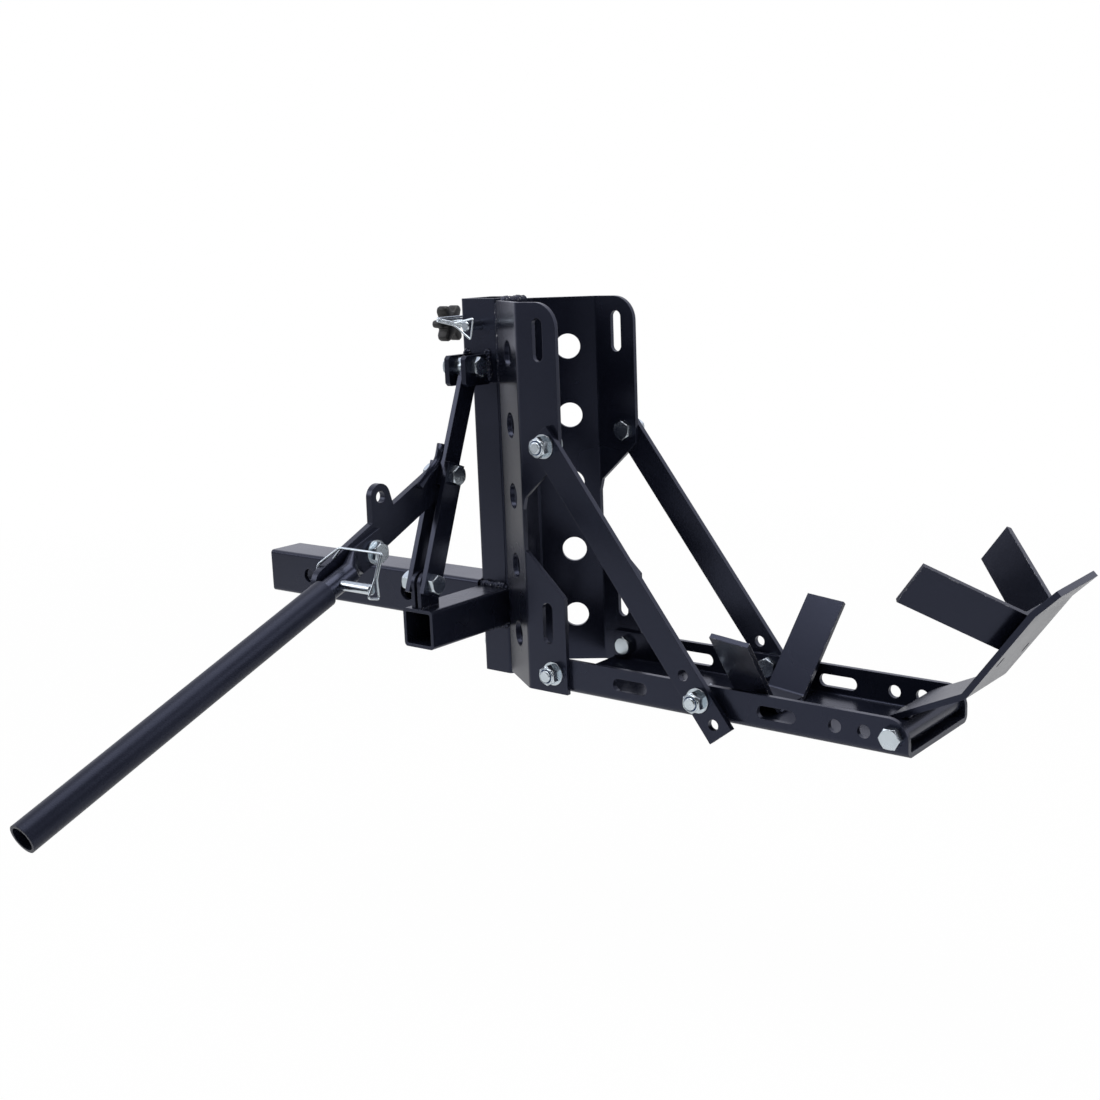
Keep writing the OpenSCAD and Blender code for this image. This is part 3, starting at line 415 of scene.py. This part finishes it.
def thread(name, start, way, length, radius, pitch, body):
    """Thread crests standing just proud of a plain shank, wound as a helix, with a cut point."""
    side, up = frame_along(way)
    steps = max(4, int(length / pitch * THREAD_STEPS))
    rings = []
    for i in range(steps + 1):
        along = length * i / steps
        point = min(1.0, (length - along) / POINT_L + 0.2)
        outer = radius - POINT_CUT + point * POINT_RISE
        radii = []
        for k in range(THREAD_SIDES):
            share = (along / pitch - k / THREAD_SIDES) % 1.0
            crest = 1 - abs(2 * share - 1)
            radii.append(min(radius + PROUD + (crest - CREST_SUNK) * CREST_H, outer))
        rings.append(ring(start + way * along, side, up, radii))
    new_piece(name, skin(name, rings), ZINC, body)


RING_SIDES = 36
# Outlines at a lock nut's end, in mm: place along the bolt from the nut's face, and radius
COLLAR = ((-0.6, 8.6), (0.5, 8.5), (1.0, 8.1), (1.3, 7.7), (1.25, 7.3), (0.8, 7.2), (-0.6, 7.2))
INSERT = ((-0.4, 7.3), (0.6, 7.3), (0.7, 7.0), (0.5, 6.4), (0.2, 6.12), (-0.4, 6.12))


def nylon_ring(name, face, way, body):
    """Rolled collar and nylon ring at the outer end of a lock nut."""
    side, up = frame_along(way)
    for part, outline, material in (("collar", COLLAR, ZINC), ("insert", INSERT, NYLON)):
        rings = [
            ring(face + way * along * MM, side, up, [radius * MM] * RING_SIDES)
            for along, radius in outline
        ]
        label = f"{name}_{part}"
        new_piece(label, skin(label, rings, closed_ends=False), material, body)


PLUS_X = Vector((1, 0, 0))
MINUS_X = Vector((-1, 0, 0))
PLUS_Y = Vector((0, 1, 0))
MINUS_Y = Vector((0, -1, 0))
BOLT_R, BOLT_PITCH = 6 * MM, 1.75 * MM
SCREW_R, SCREW_PITCH = 4 * MM, 1.25 * MM
NUT_HALF, NUT_CORNER = 9.0, 10.39
ROOT = 0.5
BOLT_PAST = 2.3
LOCK_BOLT_PAST = 3.3

# Bolts with a plain nut: the name of bolt and nut, the way that the bolt points, and its body
PLAIN_BOLTS = (
    ("low_pivot", MINUS_X, "mast"),
    ("mid_pivot", MINUS_X, "lever"),
    ("top_pivot", MINUS_X, "carriage"),
    ("guide", PLUS_X, "mast"),
    ("cradle", PLUS_Y, "carriage"),
)


def outer_face(box, way):
    """Middle of the side of a box that a way points to."""
    x = {1: box.right, -1: box.left, 0: box.mid_x}[round(way.x)]
    y = {1: box.far, -1: box.near, 0: box.mid_y}[round(way.y)]
    return vec(x, y, box.mid_z)


def add_bolt_ends():
    for label, way, body in PLAIN_BOLTS:
        face = outer_face(Box(label + "_nut"), way)
        thread("thread_" + label, face - way * ROOT * MM, way, BOLT_PAST * MM, BOLT_R, BOLT_PITCH, body)
    nut = Box("brace_nuts")
    foot = Box("brace_spacers")
    gusset = Box("gusset_nuts")
    lock_bolts = (
        ("brace_top", nut.left + NUT_HALF, nut.top - NUT_CORNER, nut.far),
        ("brace_foot", foot.mid_x, foot.mid_z, nut.far),
        ("gusset", gusset.mid_x, gusset.mid_z, gusset.far),
    )
    for label, x, z, nut_end in lock_bolts:
        for side_name, way in (("near", MINUS_Y), ("far", PLUS_Y)):
            face = vec(x, way.y * nut_end, z)
            thread(f"thread_{label}_{side_name}", face - way * ROOT * MM, way,
                   LOCK_BOLT_PAST * MM, BOLT_R, BOLT_PITCH, "carriage")
            nylon_ring(f"lock_nut_{label}_{side_name}", face, way, "carriage")


add_bolt_ends()

KNOB_BACK = Box("star_knob").right
SCREW_Z = Box("clamp_screw").mid_z
thread("thread_clamp", vec(KNOB_BACK, 0, SCREW_Z), PLUS_X, (Box("clamp_nut").left - KNOB_BACK) * MM,
       SCREW_R, SCREW_PITCH, "star_knob")

# Welds
WELD_SIDES = 10
WELD_STEP = 0.8 * MM
RIPPLE = 3.2 * MM
ROUGH = 0.05
WANDER = 0.10


def weld(name, start, end, radius, body):
    """Rough bead between two points in mm, with the ripple of a hand-held torch."""
    start, end, radius = vec(*start), vec(*end), radius * MM
    run = end - start
    side, up = frame_along(run.normalized())
    count = max(4, int(run.length / WELD_STEP))
    rings = []
    for i in range(count + 1):
        share = i / count
        phase = share * run.length / RIPPLE
        swell = 0.84 + 0.20 * abs(math.sin(math.pi * phase)) + random.uniform(-ROUGH, ROUGH)
        from_end = min(share, 1 - share) * run.length
        swell *= min(1.0, 0.35 + from_end / (1.5 * radius))
        wander = (side * math.sin(phase * 1.7) + up * math.cos(phase * 1.1)) * radius * WANDER
        radii = [radius * swell * (1 + random.uniform(-ROUGH, ROUGH)) for _ in range(WELD_SIDES)]
        rings.append(ring(start + run * share + wander, side, up, radii))
    new_piece(name, skin(name, rings), WELD, body)


# Places of the cradle's welds in its bent plate, in mm: x, z and name
CRADLE_CHOCK_EDGES = ((846.8, 31.0, "low"), (871.4, 64.4, "high"))
TONGUE_SEAMS = ((768.6, -37.2, "front"), (755.8, -43.2, "rear"))
CHOCK_BASE_L = 39.5


def add_welds():
    post, shank, arm = Box("post"), Box("receiver_shank"), Box("side_arm")
    sleeve, upright, clevis = Box("sleeve"), Box("upright"), Box("clevis")
    lug, chock = Box("link_bracket"), Box("fixed_chock")
    for s, side_name, level in ((-1, "near", "foot"), (1, "far", "top")):
        x, y, z = post.left, s * post.far, s * shank.top
        weld(f"weld_shank_{side_name}", (x, y, shank.foot + 1), (x, y, shank.top - 1), 2.6, "mast")
        weld(f"weld_shank_edge_{level}", (x, post.near + 1, z), (x, post.far - 1, z), 3.0, "mast")
        y, z = post.near - 1, s * arm.top
        weld(f"weld_arm_{level}", (arm.left + 1, y, z), (arm.right - 1, y, z), 5.4, "mast")
        x, y = sleeve.right, s * sleeve.far
        weld(f"weld_sleeve_{side_name}", (x, y, sleeve.foot + 2), (x, y, sleeve.top - 4), 2.6, "carriage")
    x, y = post.right, post.near
    weld("weld_arm_right", (x, y, arm.foot + 1), (x, y, arm.top - 1), 2.6, "mast")
    x, z = sleeve.right + 1, upright.top - 0.5
    weld("weld_sleeve_top", (x, -21, z), (x, 21, z), 4.2, "carriage")
    for x, label in ((clevis.left, "left"), (clevis.right, "right")):
        y, z = sleeve.near, clevis.top
        weld(f"weld_clevis_{label}", (x, y, sleeve.foot + 2), (x, y, z - 1), 4.0, "carriage")
        weld(f"weld_clevis_top_{label}", (x - 5, y, z + 0.5), (x + 4, y, z + 1), 4.4, "carriage")
    for x, label in ((lug.left, "left"), (lug.right, "right")):
        weld(f"weld_lug_{label}", (x, lug.near + 1, arm.top), (x, lug.far - 1, arm.top), 1.8, "mast")
    for x, label in ((chock.left, "near"), (chock.left + CHOCK_BASE_L, "far")):
        z = chock.foot + 1
        weld(f"weld_chock_{label}", (x, -22, z), (x, 22, z), 2.6, "carriage")
    for x, z, label in CRADLE_CHOCK_EDGES:
        weld(f"weld_cradle_chock_{label}", (x, -27, z), (x, 27, z), 2.8, "cradle")
    for x, z, label in TONGUE_SEAMS:
        weld(f"weld_tongue_{label}", (x, -38, z), (x, 38, z), 2.0, "cradle")


add_welds()

# Bent wire and bar
WIRE_SIDES = 14
BEND_STEPS = 5
END_SHARE = 0.7


def rounded_line(points, radius):
    """The points with each corner replaced by a short arc."""
    run = [points[0]]
    for a, b, c in zip(points, points[1:], points[2:]):
        reach = min(radius, (b - a).length / 2.1, (c - b).length / 2.1)
        start = b + (a - b).normalized() * reach
        end = b + (c - b).normalized() * reach
        for i in range(BEND_STEPS + 1):
            t = i / BEND_STEPS
            run.append(start * (1 - t) ** 2 + b * (2 * t * (1 - t)) + end * t ** 2)
    run.append(points[-1])
    return run


def bent_rod(name, points, radius, bend, material, body, stands_for):
    """Round rod along the points, with its ends chamfered, in place of a CAD node."""
    run = rounded_line(points, bend)
    side = frame_along((run[1] - run[0]).normalized())[0]
    rings = []
    for i, at in enumerate(run):
        ahead = (run[min(i + 1, len(run) - 1)] - run[max(i - 1, 0)]).normalized()
        side = (side - ahead * side.dot(ahead)).normalized()
        rings.append(ring(at, side, ahead.cross(side), [radius] * WIRE_SIDES))
    first = [run[0] + (point - run[0]) * END_SHARE for point in rings[0]]
    last = [run[-1] + (point - run[-1]) * END_SHARE for point in rings[-1]]
    obj = new_piece(name, skin(name, [first, *rings, last]), material, body)
    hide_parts(stands_for)


# Bent bar on the lever plate that the upper link leans against
PLATE_FACE = Box("lever_plate").right
STOP_R = 4.0
STOP_X = PLATE_FACE + STOP_R
STOP_LINE = [vec(STOP_X, -93.5, 182), vec(STOP_X, -98.5, 166.5), vec(STOP_X, -128, 143.5)]
bent_rod("bent_stop", STOP_LINE, STOP_R * MM, 6 * MM, COAT, "lever", "lever_stop")
SEAM_X = PLATE_FACE + 0.7
weld("weld_stop", (SEAM_X, -108, 156), (SEAM_X, -126, 142), 3.6, "lever")

# Bail of the lever pin: out of the cross hole on both sides, over the tube and round the tip
PIN = Box("lever_lock_pin")
HEAD_L = 6
PIN_HEAD = vec(PIN.left + HEAD_L, PIN.mid_y, PIN.mid_z)
TIP_X = PIN.right - PIN.left - HEAD_L + 2.8
BAIL_LEAN = math.radians(14)
BAIL_EAR = 6.9
BAIL_TWIN = 1.3
BAIL_RISE = 34
BAIL_R = 1.15
BAIL_HALF = (
    (0, 0.6, 0), (0, BAIL_EAR, 0), (0, BAIL_EAR, 16), (20, BAIL_TWIN, BAIL_RISE),
    (TIP_X + 3, BAIL_TWIN, BAIL_RISE), (TIP_X, BAIL_TWIN, 10), (TIP_X, 7.2, -8),
)


def at_pin(x, y, z):
    """A point from the pin's head, with the bail's lean."""
    return PIN_HEAD + Matrix.Rotation(-BAIL_LEAN, 3, "X") @ vec(x, y, z)


bail = [at_pin(x, -y, z) for x, y, z in BAIL_HALF] + [at_pin(x, y, z) for x, y, z in BAIL_HALF[::-1]]
bent_rod("lever_pin_wire", bail, BAIL_R * MM, 3 * MM, WIRE, "lever_pin_bail", "lever_pin_bail")

# Star knob with six rounded lobes
KNOB_LOBES = 6
KNOB_MID, KNOB_SWING = 16.4, 4.4
KNOB_TURN = math.radians(30)
KNOB_POINTS = 96
LOBE_SQUARE = 0.55
# Depth from the knob's back in mm, and share of its outline there
KNOB_LAYERS = ((0.0, 0.84), (0.8, 0.95), (2.2, 1.0), (11.5, 1.0), (13.6, 0.95), (15.0, 0.84), (15.4, 0.6))


def knob_ring(depth, share):
    points = []
    for k in range(KNOB_POINTS):
        t = 2 * math.pi * k / KNOB_POINTS
        wave = math.cos(KNOB_LOBES * (t - KNOB_TURN))
        r = (KNOB_MID + KNOB_SWING * math.copysign(abs(wave) ** LOBE_SQUARE, wave)) * share
        points.append(vec(KNOB_BACK - depth, r * math.sin(t), SCREW_Z + r * math.cos(t)))
    return points


knob_mesh = skin("six_lobe_knob", [knob_ring(depth, share) for depth, share in KNOB_LAYERS])
knob = new_piece("six_lobe_knob", knob_mesh, KNOB, "star_knob")
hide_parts("star_knob")

# Stage, in metres: the shank hangs in a receiver, so the ground lies below the lowered handle
GROUND_Z = -0.33
GROUND_HALF = 6.0
GROUND_LOW, GROUND_HIGH = (0.90, 0.90, 0.90), (0.92, 0.92, 0.92)
NEAR_GLOW = 0.98
FADE_FROM, FADE_TO = 1.1, 2.6
WHITE = (1, 1, 1, 1)


def ground_material(name):
    """Pale matt ground that shows the camera little but the object's shadow."""
    n = Surface(name)
    n.drive(Base_Color=n.mix(n.noise(3.0), GROUND_LOW, GROUND_HIGH))
    n.shader.inputs["Roughness"].default_value = 0.9
    n.shader.inputs["Specular IOR Level"].default_value = 0.0
    far = n.add("ShaderNodeVectorMath", operation="LENGTH")
    n.join(n.place, far.inputs[0])
    fade = n.spread(far.outputs["Value"], FADE_FROM, FADE_TO, NEAR_GLOW, 1.0)
    glow = n.add("ShaderNodeEmission")
    glow.inputs["Strength"].default_value = 1.0
    glow.inputs["Color"].default_value = WHITE
    share = n.math("MULTIPLY", n.seen_direct(n.add("ShaderNodeLightPath")), fade)
    look = n.blend(share, n.shader.outputs["BSDF"], glow.outputs["Emission"])
    n.join(look, n.tree.nodes["Material Output"].inputs["Surface"])
    return n.owner


def make_ground():
    mesh = bpy.data.meshes.new("floor")
    corners = ((-1, -1), (1, -1), (1, 1), (-1, 1))
    mesh.from_pydata([(x * GROUND_HALF, y * GROUND_HALF, GROUND_Z) for x, y in corners], [], [(0, 1, 2, 3)])
    mesh.materials.append(ground_material("floor_pale"))
    ground = bpy.data.objects.new("floor", mesh)
    scene.collection.objects.link(ground)


make_ground()

# The way to the bright wall of the room that the coat and the zinc mirror
BACKDROP_WAY = (-0.62, 0.78, 0.0)
ROOM_FROM, ROOM_TO = -0.7, 0.66
ROOM_GLOW = 0.07
ROOM_COLOUR = (0.89, 0.90, 1.0, 1)
PLAIN_LIGHT = 0.45


def make_world():
    """White to the camera, a fading room to glossy rays, and a plain level of light to the rest."""
    scene.world = bpy.data.worlds.new("studio")
    n = Nodes(scene.world)
    plain = n.tree.nodes["Background"]
    plain.inputs["Color"].default_value = WHITE
    plain.inputs["Strength"].default_value = PLAIN_LIGHT
    white = n.add("ShaderNodeBackground")
    white.inputs["Color"].default_value = WHITE
    white.inputs["Strength"].default_value = 1.0
    room = n.add("ShaderNodeBackground")
    room.inputs["Color"].default_value = ROOM_COLOUR
    ahead = n.add("ShaderNodeVectorMath", operation="DOT_PRODUCT")
    ahead.inputs[1].default_value = BACKDROP_WAY
    n.join(n.add("ShaderNodeTexCoord").outputs["Generated"], ahead.inputs[0])
    fade = n.spread(ahead.outputs["Value"], ROOM_FROM, ROOM_TO, ROOM_GLOW, 1.0, "SMOOTHSTEP")
    n.join(fade, room.inputs["Strength"])
    ray = n.add("ShaderNodeLightPath")
    lit = n.blend(ray.outputs["Is Glossy Ray"], plain.outputs["Background"], room.outputs["Background"])
    look = n.blend(n.seen_direct(ray), lit, white.outputs["Background"])
    n.join(look, n.tree.nodes["World Output"].inputs["Surface"])


make_world()

# Square lamps: name, place, what they face, side in metres, and watts
LAMPS = (
    ("top", (0.4, -0.2, 2.0), (0.4, 0, 0), 1.6, 22),
    ("left", (-1.2, -1.5, 1.1), (0.3, 0, 0.1), 1.0, 7),
    ("right", (2.1, 0.6, 1.2), (0.5, 0, 0.1), 1.0, 9),
)


def soft_light(name, at, target, size, watts):
    data = bpy.data.lights.new(name, "AREA")
    data.size = size
    data.energy = watts
    lamp = bpy.data.objects.new(name, data)
    scene.collection.objects.link(lamp)
    lamp.location = at
    lamp.rotation_euler = (Vector(target) - Vector(at)).to_track_quat("-Z", "Y").to_euler()


for lamp_row in LAMPS:
    soft_light(*lamp_row)
